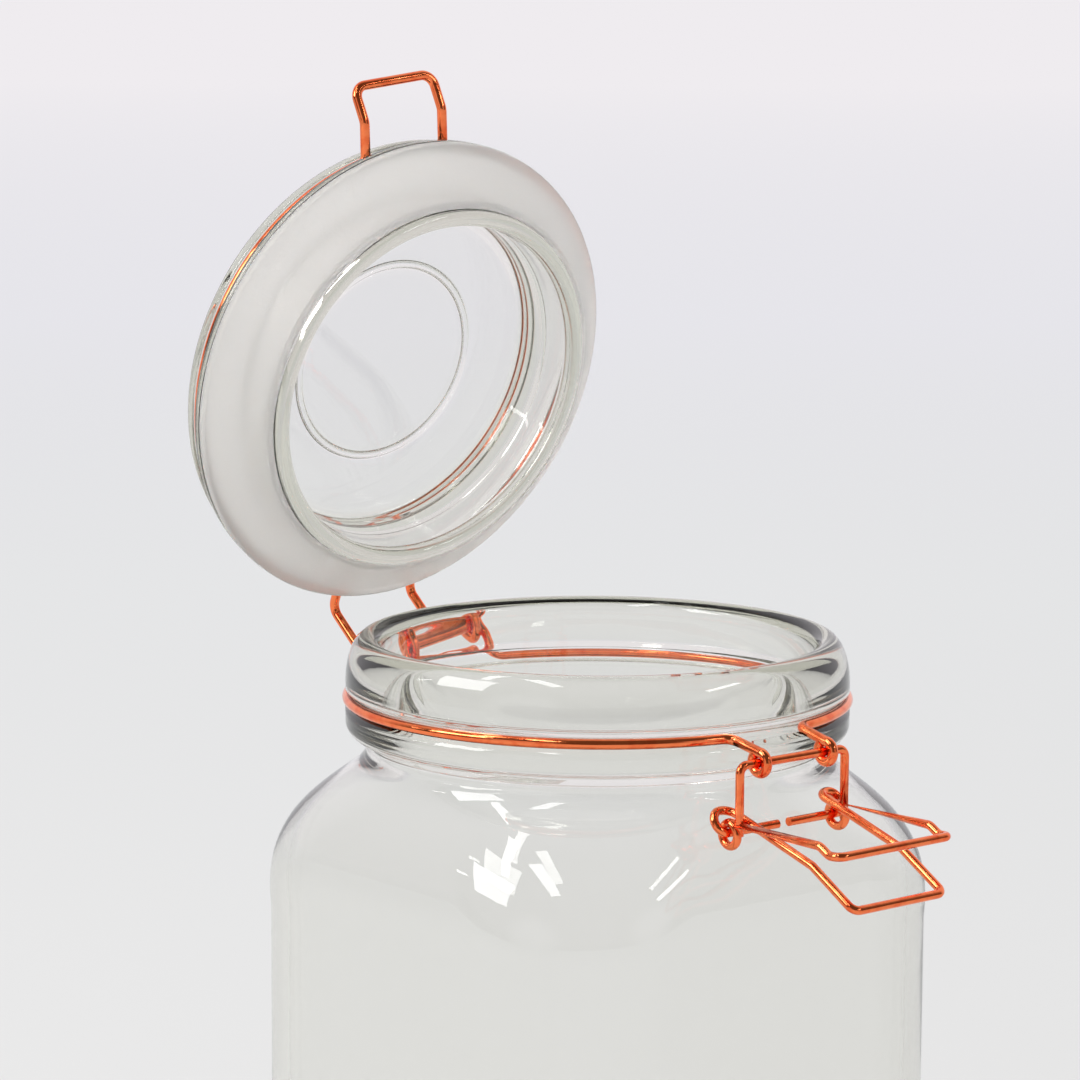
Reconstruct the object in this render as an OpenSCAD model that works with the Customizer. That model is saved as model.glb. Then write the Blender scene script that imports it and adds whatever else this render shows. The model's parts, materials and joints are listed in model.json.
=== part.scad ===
// Glass storage jar with a wire-hinged glass lid and a wire toggle latch at the front.
// Millimetres. The origin is the centre of the base, on the ground; +Z is up, the latch
// faces -Y and the hinge is at +Y. Heights marked "over the groove" are measured from the
// plane of the neck wire. The lid is drawn shut and then swung open about its hinge.

/* [Jar] */
// Width of the square body
body_w = 110; // [100:1:140]
// Radius of the body's upright corners
corner_r = 30; // [22:1:42]
// Height of the neck wire's groove above the ground
groove_z = 172; // [140:1:220]
// Thickness of the glass wall
wall = 3.6; // [2.8:0.1:5]
// Thickness of the glass base
base_t = 6; // [4:0.5:10]
// How far the shoulder reaches below the groove
shoulder_drop = 43; // [36:1:52]
// Radius of the neck beads
neck_r = 50; // [42:0.5:60]
// Thickness of the rim, from the bore to the beads
rim_t = 7; // [6.6:0.1:8.4]
// Height of the rim over the groove
rim_h = 12.3; // [11.5:0.1:15]

/* [Lid] */
// How far the seal's outer edge lies inside the neck beads
seal_inset = 0.5; // [0:0.1:1.5]
// Gap between the lid's plug and the bore of the neck
plug_gap = 4.4; // [3:0.1:5.4]
// Rise of the dished seal from its inner to its outer edge
seal_dish = 9; // [8:0.1:10]
// Thickness of the seal
seal_t = 3; // [2:0.1:3.2]
// Thickness of the lid's flange
flange_t = 7.4; // [7:0.1:9]
// Thickness of the lid's panel and plug wall
lid_wall = 3.4; // [2.8:0.1:4.2]
// Height of the lid's wire over the underside of the flange
wire_up = 3.04; // [3:0.02:3.8]
// Radius of the ring moulded on top of the lid
ring_r = 21; // [16:1:28]

/* [Wires] */
// Diameter of the neck wire and the lid wire
band_d = 2; // [1.6:0.1:2.4]
// Diameter of the latch wires
latch_d = 1.7; // [1.5:0.1:1.9]
// Inner radius of the wires' bends
bend_r = 1.6; // [1.2:0.1:2.4]
// Gap between parts that move past each other
clearance = 0.3; // [0.3:0.05:0.5]
// Radial gap of a wire in its eye
eye_fit = 0.08; // [0.05:0.01:0.1]

/* [Hinge] */
// Distance of the hinge behind the neck beads
hinge_out = 4.8; // [4.4:0.1:6]
// Height of the hinge over the groove
hinge_h = 4.1; // [3.5:0.1:6]
// Half the width between the hinge bar's bends
hinge_half = 13.3; // [12.6:0.1:15]
// Distance of the lid's hinge eyes inside the bends of the hinge bar
eye_inset = 0.9; // [0.8:0.1:2]
// How far the lid stands open
open_angle = 74.8; // [0:0.1:100]
// Lean of the hinge bar to one side, seen from behind
hinge_lean = 5.3; // [0:0.1:6]
// Turn of the hinge bar, seen from above
hinge_turn = 3.4; // [0:0.1:4]

/* [Latch] */
// Distance of the latch pivot in front of the neck beads
pivot_out = 6.6; // [6:0.1:9]
// Depth of the latch pivot below the groove
pivot_drop = 3.5; // [3:0.1:5]
// Half the distance between the two eyes of the neck wire
eyelet_x = 8.5; // [7:0.1:9]
// Half the width of the lid's catch
catch_half = 9.5; // [9:0.1:11.5]
// Length of the lever's legs
leg_len = 13.3; // [12.5:0.1:14]
// Length of the lever's arms
arm_len = 29.8; // [26:0.1:34]
// How far the bail's pin can move inside the lever's coil
pin_play = 0.38; // [0.1:0.02:0.4]
// Length of the bail from its pin to its bar
bail_len = 32.6; // [30:0.1:36]
// Length of the bail up to its bend
bail_bend = 20.2; // [18:0.1:22]
// Slope of the bail's bar below its pin, as an angle
bail_slope = 16.8; // [14:0.1:18]
// Gap between the two ends of the bail's wire
bail_gap = 2.8; // [1:0.2:5]

/* [Hidden] */
$fn = 64;

GLASS = [0.86, 0.92, 0.92, 0.45];
SILICONE = [0.86, 0.85, 0.83, 0.85];
COPPER = [0.92, 0.42, 0.27];

// Body: on a wider body the shoulder turns outwards lower down, clear of the latch
body_half = body_w / 2;
foot_r = 7;
foot_steps = 4;
section_n = 16;
waist_drop = 9.7;
waist_r = neck_r - 4.7;
flare = body_half - waist_r;
flare_turn = max(flare + 9.3, waist_drop + 3);
flare_step = 1.8;
over_body = 1.13;
over_waist = 0.03;
shoulder_steps = 14;

// Neck: a lip, a tall bead, the groove and a low bead
mouth_r = neck_r - rim_t;
lip_r = 3;
bead_r = 4;
bead_end = 1.9;
groove_half = 1.1;
groove_r = neck_r - 1.5;
low_bead_r = 3;
low_bead_drop = 4.6;
bore_end = waist_drop + 4;
arc_n = 8;

// Wires: a bend is a little thicker than the straight wire, and laps over its end
swell = 0.04;
lap = 0.1;
soft = bend_r + band_d / 2;
tight = 0.75 + latch_d / 2;

// Wires in their grooves
neck_ring_r = groove_r + band_d / 2 + 0.1;
neck_exit_x = eyelet_x + 0.2;
rear_exit_x = hinge_half - 2;
neck_past = 1.1 * soft;
lid_past = 0.6 * soft;
hinge_eye_r = band_d + swell + eye_fit;
eyelet_r = latch_d / 2 + band_d / 2 + swell + eye_fit;
hinge_y = neck_r + hinge_out;
hinge_eye_x = hinge_half - soft - eye_inset;

// Lid: shut, its dished seal lies seal_gap clear of the round of the lip
seal_gap = 0.4;
seal_r = neck_r - seal_inset;
plug_r = mouth_r - plug_gap;
seal_slope = atan2(seal_dish, seal_r - plug_r);
seal_edge_h = rim_h - lip_r + (lip_r + seal_gap) / cos(seal_slope)
    + (seal_r - mouth_r - lip_r) * tan(seal_slope);
seal_low = seal_edge_h - seal_dish;
flange_h = seal_edge_h + seal_t * cos(seal_slope) + 0.05;
lid_top_h = flange_h + flange_t;
plug_end_h = seal_low - 1;
flange_r = seal_r - 0.3;
lid_top_r = seal_r - 1.8;
lid_corner_r = 1.6;
lid_groove_r = lid_top_r - 1.7;
lid_groove_half = 1.1;
panel_corner_r = 2.4;
panel_edge = plug_r - lid_wall - 3;
ring_half = 1;
ring_rise = 0.7;
seal_lip = 3.6;
seal_edge_r = 1.2;
lid_ring_h = flange_h + wire_up;
lid_ring_r = lid_groove_r + band_d / 2 + 0.1;
catch_knee = [neck_r + 4, lid_ring_h + 1.1];
catch_tip = [neck_r + 10.1, lid_ring_h + 5.4];
leg_shoulder = [hinge_y - 0.2, lid_ring_h + 2.4];
leg_elbow = [hinge_y + 4.4, hinge_h + 11.1];

// Latch: from the inside out come the bail's arms, the lever's coil and the bail's outer turn
bail_half = catch_half + band_d / 2 + latch_d / 2 + 0.15;
coil_pitch = 0.3;
lever_half = bail_half + latch_d + clearance;
coil_x = lever_half + coil_pitch;
arm_x = coil_x + coil_pitch;
bail_out = arm_x + latch_d + clearance;
pivot_y = neck_r + pivot_out;
coil_r = latch_d + swell + eye_fit + pin_play;
coil_y = pivot_y - coil_r;
coil_h = -pivot_drop - leg_len;
finger_start = 5.3;
finger_end = 2.8;
finger_drop = 1.4;
bar_drop = 1.2;
bend_drop = 3;
pin_from = 137;
pin_y = coil_y + pin_play * cos(pin_from);
pin_h = coil_h + pin_play * sin(pin_from);
turn_r = coil_r + pin_play + latch_d + clearance;
turn_at = 125;
hinge_axis = [-cos(hinge_turn), -sin(hinge_turn), -tan(hinge_lean)];
hinge_at = [0, hinge_y, hinge_h];

// Points on a circle, as an arc of an outline
function arc(x, y, r, from, to, n = arc_n) =
    [for (i = [0:n]) let (a = from + (to - from) * i / n) [x + r * cos(a), y + r * sin(a)]];

// A point on the smooth S that leads from the body (0) to the neck (1): [depth, share of the flare]
function bezier(p0, p1, p2, p3, t) =
    pow(1 - t, 3) * p0 + 3 * pow(1 - t, 2) * t * p1 + 3 * (1 - t) * t * t * p2 + pow(t, 3) * p3;
function shoulder(t) =
    bezier([shoulder_drop, 1], [flare_turn, over_body],
           [flare_turn - flare_step, over_waist], [waist_drop, over_waist], t);

// One level of the body: a square with rounded corners that turns into a circle towards the neck
function level(share, inset, h) =
    let (w = waist_r + share * flare - inset,
         r = min(w, waist_r + share * (corner_r - waist_r) - inset))
    [for (q = [0:3], i = [0:section_n]) let (a = q * 90 + 90 * i / section_n, m = q * 90 + 45)
        [(w - r) * sqrt(2) * cos(m) + r * cos(a), (w - r) * sqrt(2) * sin(m) + r * sin(a), h]];

// Heights and insets of every level, from the foot up to the neck
function body_levels(inset, floor_h) = concat(
    [for (i = [0:foot_steps]) let (a = 90 * i / foot_steps)
        level(1, inset + foot_r * (1 - sin(a)), floor_h + foot_r * (1 - cos(a)))],
    [for (i = [0:shoulder_steps]) let (s = shoulder(i / shoulder_steps))
        level(s[1], inset, groove_z - s[0])]);

// A closed skin over a stack of levels that have the same number of points
module loft(levels) {
    n = len(levels[0]);
    m = len(levels);
    polyhedron(
        points = [for (l = levels) for (p = l) p],
        faces = concat(
            [[for (i = [0:n - 1]) i]],
            [[for (i = [n - 1:-1:0]) (m - 1) * n + i]],
            [for (k = [0:m - 2]) for (i = [0:n - 1]) let (j = (i + 1) % n)
                [k * n + i, (k + 1) * n + i, (k + 1) * n + j, k * n + j]]));
}

// Direction and matrix helpers for the wires
function unit(v) = v / norm(v);
function across(a, b, c) = [for (i = [0:3]) i == 3 ? [0, 0, 0, 1] : [a[i], b[i], c[i], 0]];

// A straight piece of wire
module rod(a, b, d) {
    v = b - a;
    translate(a) rotate([0, acos(v[2] / norm(v)), atan2(v[1], v[0])]) cylinder(h = norm(v), d = d);
}

// A bend of radius r at the corner p between the directions u and v
module elbow(p, u, v, r, d) {
    turn = acos(min(1, max(-1, u * v)));
    mid = p + unit(v - u) * (r / cos(turn / 2));
    start = p - u * (r * tan(turn / 2));
    translate(mid) multmatrix(across(unit(start - mid), u, unit(cross(u, v))))
        rotate_extrude(angle = turn) translate([r, 0]) circle(d = d);
}

// A wire along a line of corners, each rounded with its own radius
module wire(path, radii, d) {
    n = len(path);
    dirs = [for (i = [0:n - 2]) unit(path[i + 1] - path[i])];
    cut = [for (i = [0:n - 1]) i == 0 || i == n - 1 ? 0 :
        radii[i] * tan(acos(min(1, max(-1, dirs[i - 1] * dirs[i]))) / 2)];
    for (i = [0:n - 2])
        if (norm(path[i + 1] - path[i]) - cut[i] - cut[i + 1] > 0.01)
            rod(path[i] + dirs[i] * (cut[i] - (i == 0 ? 0 : lap)),
                path[i + 1] - dirs[i] * (cut[i + 1] - (i == n - 2 ? 0 : lap)), d);
    for (i = [1:n - 2]) elbow(path[i], dirs[i - 1], dirs[i], radii[i], d + 2 * swell);
}

// A closed eye of wire round the line through p along v
module eye(p, v, r, d) {
    u = unit(cross(v, [0, 0.1, 1]));
    translate(p) multmatrix(across(u, cross(unit(v), u), unit(v)))
        rotate_extrude() translate([r, 0]) circle(d = d + 2 * swell);
}

// Where the tangents at both ends of an arc of a ring cross; angles run from the front
function ring_corner(r, from, to, side, h) =
    let (m = (from + to) / 2, q = r / cos((to - from) / 2)) [side * q * sin(m), -q * cos(m), h];
// The angle at which a ring ends so that its wire bends away from it at the distance x from the middle
function leave(r, x, past) = asin((x + past) / r);
// The corner where a wire bends away from the ring, past the ring's end at the angle a
function ring_exit(r, a, past, side, h) =
    [side * (r * sin(a) + past * cos(a)), -r * cos(a) + past * sin(a), h];
// A point of the hinge line, x along it from the middle
function on_hinge(x) = hinge_at - unit(hinge_axis) * x;

// ---- jar ----
module neck() {
    rotate_extrude($fn = 96) translate([0, groove_z]) polygon(concat(
        [[mouth_r, 1 - bore_end]],
        arc(mouth_r + lip_r, rim_h - lip_r, lip_r, 180, 90),
        arc(neck_r - bead_r, rim_h - bead_r, bead_r, 90, 0),
        [[neck_r, bead_end], [groove_r, groove_half], [groove_r, -groove_half], [neck_r, -bead_end]],
        arc(neck_r - low_bead_r, -low_bead_drop, low_bead_r, 0, -60, 4),
        [[waist_r, 0.6 - waist_drop], [waist_r, 1 - bore_end]]));
}

module jar_body() {
    color(GLASS) difference() {
        union() {
            loft(body_levels(0, 0));
            neck();
        }
        loft(body_levels(wall, base_t));
        translate([0, 0, groove_z - bore_end]) cylinder(h = bore_end + 1, r = mouth_r, $fn = 96);
    }
}

// ---- neck wire: front eyes, the ring in its groove, and the hinge bar behind ----
function neck_side(s) = let (r = neck_ring_r,
        from = leave(r, neck_exit_x, neck_past), to = 180 - leave(r, rear_exit_x, neck_past))
    [[s * eyelet_x, -pivot_y, eyelet_r - pivot_drop],
     ring_exit(r, from, -neck_past, s, 0),
     ring_corner(r, from, to, s, 0),
     ring_exit(r, to, neck_past, s, 0),
     on_hinge(s * hinge_half)];

module neck_band() {
    left = neck_side(-1);
    right = neck_side(1);
    r = [0, soft, neck_ring_r, soft, soft];
    color(COPPER) translate([0, 0, groove_z]) {
        wire(concat(left, [for (i = [4:-1:0]) right[i]]), concat(r, [for (i = [4:-1:0]) r[i]]), band_d);
        for (s = [-1, 1]) eye([s * eyelet_x, -pivot_y, -pivot_drop], [1, 0, 0], eyelet_r, band_d);
    }
}

// ---- lid: everything here is drawn shut and swung open ----
module opened() {
    translate([0, 0, groove_z]) translate(hinge_at) rotate(a = open_angle, v = hinge_axis)
        translate(-hinge_at) children();
}

module lid_glass() {
    top = lid_top_h;
    color(GLASS) opened() rotate_extrude($fn = 96) polygon(concat(
        [[0, top - lid_wall], [panel_edge, top - lid_wall]],
        arc(panel_edge, top - lid_wall - panel_corner_r, panel_corner_r, 90, 0, 5),
        [[plug_r - lid_wall, plug_end_h + 1]],
        arc(plug_r - lid_wall / 2, plug_end_h + lid_wall / 2, lid_wall / 2, 180, 360),
        [[plug_r, flange_h], [flange_r - 0.6, flange_h], [flange_r, flange_h + 0.6],
         [flange_r, lid_ring_h - lid_groove_half - 0.6], [lid_groove_r, lid_ring_h - lid_groove_half],
         [lid_groove_r, lid_ring_h + lid_groove_half], [lid_top_r, lid_ring_h + lid_groove_half + 0.6]],
        arc(lid_top_r - lid_corner_r, top - lid_corner_r, lid_corner_r, 0, 90, 5),
        [[ring_r + ring_half, top], [ring_r, top + ring_rise], [ring_r - ring_half, top], [0, top]]));
}

module seal() {
    n = [-sin(seal_slope), cos(seal_slope)];
    low = [plug_r + 0.05, seal_low];
    edge = [seal_r, seal_edge_h];
    color(SILICONE) opened() rotate_extrude($fn = 96) polygon(concat(
        [low + [0, seal_lip], low],
        arc(edge[0] - seal_edge_r, edge[1] + 0.7, seal_edge_r, -50, 60, 5),
        [edge + n * seal_t]));
}

function lid_side(s) = let (r = lid_ring_r, h = lid_ring_h,
        from = leave(r, catch_half, lid_past), to = 180 - leave(r, hinge_eye_x, lid_past))
    [[s * catch_half, -catch_tip[0], catch_tip[1]],
     [s * catch_half, -catch_knee[0], catch_knee[1]],
     ring_exit(r, from, -lid_past, s, h),
     ring_corner(r, from, to, s, h),
     ring_exit(r, to, lid_past, s, h),
     [s * hinge_eye_x, leg_shoulder[0], leg_shoulder[1]],
     [s * hinge_eye_x, leg_elbow[0], leg_elbow[1]],
     on_hinge(s * hinge_eye_x) + [0, hinge_eye_r, 0]];

module lid_band() {
    left = lid_side(-1);
    right = lid_side(1);
    r = [soft, soft, soft * 0.6, lid_ring_r, soft * 0.6, soft, soft, 0];
    color(COPPER) opened() {
        wire(concat([for (i = [7:-1:0]) left[i]], right), concat([for (i = [7:-1:0]) r[i]], r), band_d);
        for (s = [-1, 1]) eye(on_hinge(s * hinge_eye_x), hinge_axis, hinge_eye_r, band_d);
    }
}

// ---- latch ----
function from_coil(x, out, up) = [x, -coil_y - out, coil_h + up];
function from_pin(x, out, up) = [x, -pin_y - out, pin_h + up];

module lever() {
    a = lever_half;
    side = [[a, -pivot_y, -pivot_drop],
            [a, -pivot_y, coil_h]];
    arms = [from_coil(arm_x, 0, coil_r),
            from_coil(arm_x, arm_len - finger_start, coil_r),
            from_coil(arm_x, arm_len - finger_end, coil_r - finger_drop),
            from_coil(arm_x, arm_len, coil_r - bar_drop)];
    flip = [for (p = arms) [-p[0], p[1], p[2]]];
    color(COPPER) translate([0, 0, groove_z]) {
        wire([side[1] - [2 * a, 0, 0], side[0] - [2 * a, 0, 0], side[0], side[1]], [0, tight, tight, 0], latch_d);
        wire(concat(arms, [for (i = [3:-1:0]) flip[i]]),
            [0, soft, soft, tight, tight, soft, soft, 0], latch_d);
        for (s = [-1, 1]) eye(from_coil(s * coil_x, 0, 0), [1, 0, 0], coil_r, latch_d);
    }
}

module bail() {
    bend = from_pin(bail_half, bail_bend, -bend_drop);
    tip = from_pin(bail_half, bail_len * cos(bail_slope), -bail_len * sin(bail_slope));
    side = [from_pin(bail_gap / 2, 0, 0),
            from_pin(bail_out, 0, 0),
            from_pin(bail_out, turn_r * cos(turn_at), turn_r * sin(turn_at)),
            from_pin(bail_half, turn_r * cos(turn_at), turn_r * sin(turn_at)),
            bend, tip];
    flip = [for (p = side) [-p[0], p[1], p[2]]];
    r = [0, 1, 1, 1, soft, tight];
    color(COPPER) translate([0, 0, groove_z])
        wire(concat(side, [for (i = [5:-1:0]) flip[i]]), concat(r, [for (i = [5:-1:0]) r[i]]), latch_d);
}

jar_body();
neck_band();
lid_glass();
seal();
lid_band();
lever();
bail();
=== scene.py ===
"""Looks of a glass storage jar with a wire-hinged lid and a wire toggle latch.

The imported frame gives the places, joints and sizes. Every length here is in metres, in the same
frame: +Z is up, the latch faces -Y and the hinge is at +Y.
"""

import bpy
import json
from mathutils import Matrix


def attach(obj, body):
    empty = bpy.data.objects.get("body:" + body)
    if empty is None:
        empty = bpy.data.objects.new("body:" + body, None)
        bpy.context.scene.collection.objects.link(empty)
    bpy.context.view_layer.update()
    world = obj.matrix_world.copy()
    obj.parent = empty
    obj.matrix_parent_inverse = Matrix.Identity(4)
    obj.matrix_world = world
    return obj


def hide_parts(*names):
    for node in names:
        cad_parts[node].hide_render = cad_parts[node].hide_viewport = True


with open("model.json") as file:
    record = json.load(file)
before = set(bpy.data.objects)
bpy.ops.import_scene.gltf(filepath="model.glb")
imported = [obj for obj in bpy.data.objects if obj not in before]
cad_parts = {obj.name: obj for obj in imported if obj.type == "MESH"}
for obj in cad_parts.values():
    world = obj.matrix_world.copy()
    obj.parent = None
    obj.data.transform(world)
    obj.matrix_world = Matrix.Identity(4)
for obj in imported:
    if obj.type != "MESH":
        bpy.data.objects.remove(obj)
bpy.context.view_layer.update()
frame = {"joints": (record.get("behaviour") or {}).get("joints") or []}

import json
import logging
import math
from dataclasses import dataclass, field
from enum import Enum

import bmesh
import bpy
from mathutils import Matrix, Vector

LOG = logging.getLogger("storage_jar")

ACROSS = Vector((1, 0, 0))
SAME_PLACE = 1e-7
TURN_STEP = 8.0

Point = Vector
Socket = bpy.types.NodeSocket
Piece = bpy.types.Object
Outline = list[tuple[float, float]]
Pairs = tuple[tuple[float, float], ...]
Colour = tuple[float, float, float]
Corners = list[tuple[Point, float]]


class Slot(Enum):
    """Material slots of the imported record."""

    GLASS = "clear_glass"
    COPPER = "copper_wire"
    SEAL = "silicone"


class Part(Enum):
    """CAD nodes, each with the body it moves with."""

    JAR = ("jar_body", "jar")
    NECK_WIRE = ("neck_band", "jar")
    LID = ("lid_glass", "lid")
    SEAL = ("seal", "lid")
    LID_WIRE = ("lid_band", "lid")
    LEVER = ("lever", "lever")
    BAIL = ("bail", "bail")

    @property
    def node(self) -> str:
        """Name of the CAD node."""
        return self.value[0]

    @property
    def body(self) -> str:
        """Name of the body that the node rides on."""
        return self.value[1]


# --- Finishes ---


class Nodes:
    """A node tree under construction, with short calls for its nodes and links."""

    def __init__(self, tree: bpy.types.NodeTree) -> None:
        """Takes an empty tree."""
        self.tree = tree

    def node(self, kind: str, *values, **named) -> bpy.types.Node:
        """Adds a node with its properties and inputs.

        Args:
            kind: The node's type name.
            values: Inputs in the node's order. A socket is linked and anything else is set.
            named: Properties, in small letters, and inputs by their names, with underscores for spaces.

        Returns:
            The new node.
        """
        made = self.tree.nodes.new(kind)
        inputs = list(enumerate(values))
        for name, value in named.items():
            if name.islower():
                setattr(made, name, value)
            else:
                inputs.append((name.replace("_", " "), value))
        for key, value in inputs:
            if isinstance(value, Socket):
                self.link(value, made.inputs[key])
            else:
                made.inputs[key].default_value = value
        return made

    def link(self, source: Socket, target: Socket) -> None:
        """Links two sockets."""
        self.tree.links.new(source, target)


class Shader(Nodes):
    """The node tree of a material or a world."""

    def __init__(self, name: str, world: bool = False) -> None:
        """Makes an empty material or world.

        Args:
            name: Its name.
            world: True makes a world.
        """
        self.owner = (bpy.data.worlds if world else bpy.data.materials).new(name)
        self.owner.use_nodes = True
        self.owner.node_tree.nodes.clear()
        super().__init__(self.owner.node_tree)
        self.output = self.node("ShaderNodeOutputWorld" if world else "ShaderNodeOutputMaterial")

    def surface(self, shader: Socket) -> None:
        """Links a shader to the output."""
        self.link(shader, self.output.inputs["Surface"])

    def place(self) -> Socket:
        """Gives the object coordinates, which are metres in the shared frame."""
        return self.node("ShaderNodeTexCoord").outputs["Object"]

    def noise(self, vector: Socket, scale: float, detail: float = 2.0,
              stretch: tuple[float, float, float] = (1, 1, 1)) -> Socket:
        """Adds a noise texture.

        Args:
            vector: Where the pattern is read.
            scale: Waves per metre.
            detail: Octaves.
            stretch: Factor on each axis before the noise is read.

        Returns:
            The noise value, from 0 to 1.
        """
        spot = self.node("ShaderNodeMapping", Vector=vector, Scale=stretch).outputs["Vector"]
        return self.node("ShaderNodeTexNoise", Vector=spot, Scale=scale, Detail=detail).outputs["Fac"]

    def spread(self, value: Socket, low: float, high: float, from_low: float = 0.3,
               from_high: float = 0.7, smooth: bool = False) -> Socket:
        """Maps a value from one range to another.

        Args:
            value: The value to map.
            low: Result at from_low.
            high: Result at from_high.
            from_low: Lower end of what comes in.
            from_high: Upper end of what comes in.
            smooth: True eases both ends.

        Returns:
            The mapped value.
        """
        node = self.node("ShaderNodeMapRange", value, from_low, from_high, low, high,
                         interpolation_type="SMOOTHSTEP" if smooth else "LINEAR")
        return node.outputs["Result"]

    def larger(self, first: Socket, second: Socket) -> Socket:
        """Gives the larger of two values."""
        return self.node("ShaderNodeMath", first, second, operation="MAXIMUM").outputs["Value"]

    def along(self, vector: Socket, way: Point) -> Socket:
        """Gives the length of a vector along a fixed direction."""
        return self.node("ShaderNodeVectorMath", vector, way, operation="DOT_PRODUCT").outputs["Value"]

    def blend(self, share: Socket, first: Colour, second: Colour) -> Socket:
        """Mixes two colours, from the first at 0 to the second at 1."""
        return self.node("ShaderNodeMix", data_type="RGBA", Factor=share,
                         A=(*first, 1), B=(*second, 1)).outputs["Result"]

    def mixed(self, share: Socket | float, first: Socket, second: Socket) -> Socket:
        """Mixes two shaders, from the first at 0 to the second at 1."""
        return self.node("ShaderNodeMixShader", share, first, second).outputs["Shader"]

    def bump(self, height: Socket, depth: float, under: Socket | None = None) -> Socket:
        """Adds a bump.

        Args:
            height: Height from 0 to 1.
            depth: Real height in metres of a full step.
            under: A normal that the bump lies on.

        Returns:
            The bumped normal.
        """
        node = self.node("ShaderNodeBump", Strength=1.0, Distance=depth, Height=height)
        if under is not None:
            self.link(under, node.inputs["Normal"])
        return node.outputs["Normal"]


@dataclass(frozen=True)
class GlassFinish:
    """Clear pressed glass: faintly wavy, with a tint that deepens where the light's way is long."""

    name: str = "clear_glass"
    ior: float = 1.5
    tint: Colour = (0.50, 0.50, 0.34)
    density: float = 30.0
    shade: Colour = (0.80, 0.82, 0.80)
    wave_scale: float = 38.0
    wave_stretch: tuple[float, float, float] = (1.0, 1.0, 0.45)
    wave_depth: float = 0.00012
    ripple_scale: float = 150.0
    ripple_depth: float = 0.00001
    roughness: float = 0.0

    def make(self) -> bpy.types.Material:
        """Builds the material.

        Returns:
            Refracting glass that lets the light of lamps through, with an absorbing inside.
        """
        shader = Shader(self.name)
        place = shader.place()
        slow = shader.bump(shader.noise(place, self.wave_scale, 1.0, self.wave_stretch), self.wave_depth)
        fine = shader.bump(shader.noise(place, self.ripple_scale), self.ripple_depth, slow)
        glass = shader.node("ShaderNodeBsdfPrincipled", Base_Color=(1, 1, 1, 1), Roughness=self.roughness,
                            IOR=self.ior, Transmission_Weight=1.0, Normal=fine)
        clear = shader.node("ShaderNodeBsdfTransparent", (*self.shade, 1))
        shadow = shader.node("ShaderNodeLightPath").outputs["Is Shadow Ray"]
        shader.surface(shader.mixed(shadow, glass.outputs["BSDF"], clear.outputs["BSDF"]))
        inside = shader.node("ShaderNodeVolumeAbsorption", (*self.tint, 1), self.density)
        shader.link(inside.outputs["Volume"], shader.output.inputs["Volume"])
        return shader.owner


@dataclass(frozen=True)
class CopperFinish:
    """Bright copper plating over drawn wire, a little cloudy, with fine lines along the wire."""

    name: str = "copper_plating"
    bright: Colour = (0.98, 0.235, 0.085)
    deep: Colour = (0.84, 0.115, 0.033)
    roughness: tuple[float, float] = (0.06, 0.17)
    line_stretch: tuple[float, float, float] = (60.0, 14.0, 1.0)
    line_depth: float = 0.000012
    cloud_scale: float = 420.0
    cloud_edges: tuple[float, float] = (0.25, 0.55)
    cloud_depth: float = 0.00004

    def make(self) -> bpy.types.Material:
        """Builds the material.

        Returns:
            A metal whose colour, roughness and lines vary along the wire.
        """
        shader = Shader(self.name)
        cloud = shader.noise(shader.place(), self.cloud_scale, 3.0)
        share = shader.spread(cloud, 0.0, 1.0, *self.cloud_edges)
        along = shader.node("ShaderNodeAttribute", attribute_name="wire_uv").outputs["Vector"]
        lines = shader.bump(shader.noise(along, 1.0, 3.0, self.line_stretch), self.line_depth)
        metal = shader.node("ShaderNodeBsdfPrincipled", Metallic=1.0,
                            Base_Color=shader.blend(share, self.deep, self.bright),
                            Roughness=shader.spread(cloud, self.roughness[1], self.roughness[0]),
                            Normal=shader.bump(cloud, self.cloud_depth, lines))
        shader.surface(metal.outputs["BSDF"])
        return shader.owner


@dataclass(frozen=True)
class SiliconeFinish:
    """Matt translucent silicone with a fine moulded grain."""

    name: str = "frosted_silicone"
    pale: Colour = (0.985, 0.965, 0.940)
    grey: Colour = (0.955, 0.930, 0.905)
    roughness: tuple[float, float] = (0.40, 0.55)
    ior: float = 1.41
    clear: float = 0.75
    milky: float = 0.6
    reach: float = 0.006
    reach_by_colour: Colour = (1.0, 0.95, 0.9)
    cloud_scale: float = 90.0
    grain_scale: float = 1600.0
    grain_depth: float = 0.00003

    def make(self) -> bpy.types.Material:
        """Builds the material.

        Returns:
            A soft, light-scattering plastic.
        """
        shader = Shader(self.name)
        place = shader.place()
        cloud, grain = shader.noise(place, self.cloud_scale, 3.0), shader.noise(place, self.grain_scale)
        soft = shader.node("ShaderNodeBsdfPrincipled", IOR=self.ior, Transmission_Weight=self.clear,
                           Subsurface_Weight=self.milky, Subsurface_Scale=self.reach,
                           Subsurface_Radius=self.reach_by_colour,
                           Base_Color=shader.blend(shader.spread(cloud, 0.0, 1.0), self.grey, self.pale),
                           Roughness=shader.spread(cloud, *self.roughness),
                           Normal=shader.bump(grain, self.grain_depth))
        shader.surface(soft.outputs["BSDF"])
        return shader.owner


# --- Meshes ---


def arc(x: float, z: float, radius: float, start: float, end: float, steps: int = 10) -> Outline:
    """Points on a circle, as an arc of an outline.

    Args:
        x: Centre, outwards.
        z: Centre, upwards.
        radius: Radius of the circle.
        start: First angle in degrees.
        end: Last angle in degrees.
        steps: Number of chords.

    Returns:
        The points, both ends included.
    """
    turns = [math.radians(start + (end - start) * i / steps) for i in range(steps + 1)]
    return [(x + radius * math.cos(a), z + radius * math.sin(a)) for a in turns]


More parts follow.
